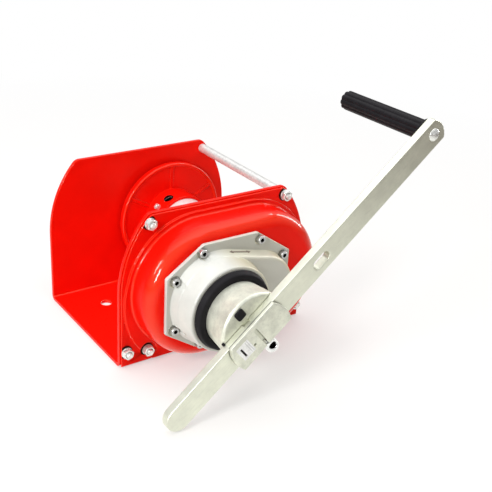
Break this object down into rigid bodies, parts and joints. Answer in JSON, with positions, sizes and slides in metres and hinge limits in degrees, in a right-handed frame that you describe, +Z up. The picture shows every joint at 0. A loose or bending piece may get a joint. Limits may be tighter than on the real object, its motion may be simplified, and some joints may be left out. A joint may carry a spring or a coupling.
{
  "type": "hand winch",
  "caption": "Hand-cranked drum winch: bent sheet frame, domed gear cover, cast brake housing with round crank hub, flat crank bar with turning grip, flanged rope drum and tie rod.",
  "frame": {"origin": "centre of the four mounting holes, on the underside of the base", "axes": "+Z up from the mounting face, +Y along the drum shaft away from the crank, +X across, towards the grip side at rest"},
  "size_m": [0.2963, 0.2942, 0.2531],
  "materials": {
    "red_paint": "gloss",
    "cast_paint": "satin",
    "zinc_hub": "mottled zinc",
    "zinc_bar": "mottled zinc",
    "zinc_fasteners": "bright zinc",
    "bright_screw": "bright",
    "bare_steel": "turned",
    "machined_steel": "machined",
    "bronze": "machined",
    "lining": "matte",
    "black_rubber": "matte",
    "black_plastic": "satin"
  },
  "bodies": {
    "winch_frame": {"frame": "red_paint", "gear_cover": "red_paint", "cover_bolts": "zinc_fasteners", "cover_nuts": "zinc_fasteners", "cover_washers": "zinc_fasteners", "tie_rod": "zinc_fasteners", "tie_rod_nuts": "zinc_fasteners", "tie_rod_washers": "zinc_fasteners", "brake_housing": "cast_paint", "housing_screws": "zinc_fasteners", "bearing_plate": "machined_steel", "drum_bush_rear": "bronze", "drum_bush_front": "bronze", "pinion_bush_rear": "bronze", "pinion_bush_front": "bronze", "pawl_pins": "machined_steel", "pawl_springs": "machined_steel"},
    "drum": {"drum_flange_rear": "red_paint", "drum_barrel": "bare_steel", "drum_flange_front": "red_paint", "drum_shaft": "machined_steel", "drum_keys": "machined_steel", "drum_circlips": "machined_steel", "rope_clamp_screw": "zinc_fasteners", "main_gear": "machined_steel"},
    "crank_shaft": {"pinion_shaft": "machined_steel", "brake_disc": "machined_steel", "brake_disc_key": "machined_steel", "friction_disc_rear": "lining", "ratchet_bush": "bronze", "shaft_end_washer": "zinc_fasteners", "shaft_end_nut": "zinc_fasteners"},
    "ratchet": {"ratchet_wheel": "machined_steel"},
    "pawl_a": {"pawl_upper": "machined_steel"},
    "pawl_b": {"pawl_lower": "machined_steel"},
    "hub": {"handle_hub": "zinc_hub", "hub_lock_screw": "black_plastic", "dust_seal": "black_rubber", "friction_disc_front": "lining"},
    "clamp": {"clamp_screw": "bright_screw"},
    "arm": {"crank_bar": "zinc_bar", "grip_collar": "black_plastic", "grip_spindle": "zinc_fasteners"},
    "turning_grip": {"grip": "black_plastic"}
  },
  "joints": [
    {"name": "shaft_spin", "type": "hinge", "parent": "winch_frame", "child": "crank_shaft", "pos_m": [-0.0285, 0, 0.0785], "axis": [0, 1, 0], "continuous": true},
    {"name": "drum_spin", "type": "hinge", "parent": "winch_frame", "child": "drum", "pos_m": [0.0335, 0, 0.0785], "axis": [0, 1, 0], "continuous": true},
    {"name": "ratchet_index", "type": "hinge", "parent": "winch_frame", "child": "ratchet", "pos_m": [-0.0285, -0.132, 0.0785], "axis": [0, 1, 0], "range_deg": [0, 28]},
    {"name": "pawl_a_lift", "type": "hinge", "parent": "winch_frame", "child": "pawl_a", "pos_m": [-0.0302, -0.132, 0.11467], "axis": [0, -1, 0], "range_deg": [0, 20]},
    {"name": "pawl_b_lift", "type": "hinge", "parent": "winch_frame", "child": "pawl_b", "pos_m": [-0.0268, -0.132, 0.04233], "axis": [0, -1, 0], "range_deg": [0, 20]},
    {"name": "brake_release", "type": "hinge", "parent": "crank_shaft", "child": "hub", "pos_m": [-0.0285, -0.16, 0.0785], "axis": [0, 1, 0], "range_deg": [0, 20]},
    {"name": "bar_slide", "type": "slide", "parent": "hub", "child": "arm", "axis": [0.7694, 0, 0.6388], "range_m": [0, 0.08]},
    {"name": "clamp_screw_travel", "type": "slide", "parent": "hub", "child": "clamp", "axis": [0.6388, 0, -0.7694], "range_m": [0, 0.004]},
    {"name": "grip_spin", "type": "hinge", "parent": "arm", "child": "turning_grip", "pos_m": [0.15783, -0.128, 0.23839], "axis": [0, 1, 0], "continuous": true}
  ],
  "couplings": [
    {"joint": "drum_spin", "follows": "shaft_spin", "ratio": -0.24},
    {"joint": "pawl_a_lift", "follows": "ratchet_index", "ratio": 0.64},
    {"joint": "pawl_b_lift", "follows": "ratchet_index", "ratio": 0.64}
  ]
}
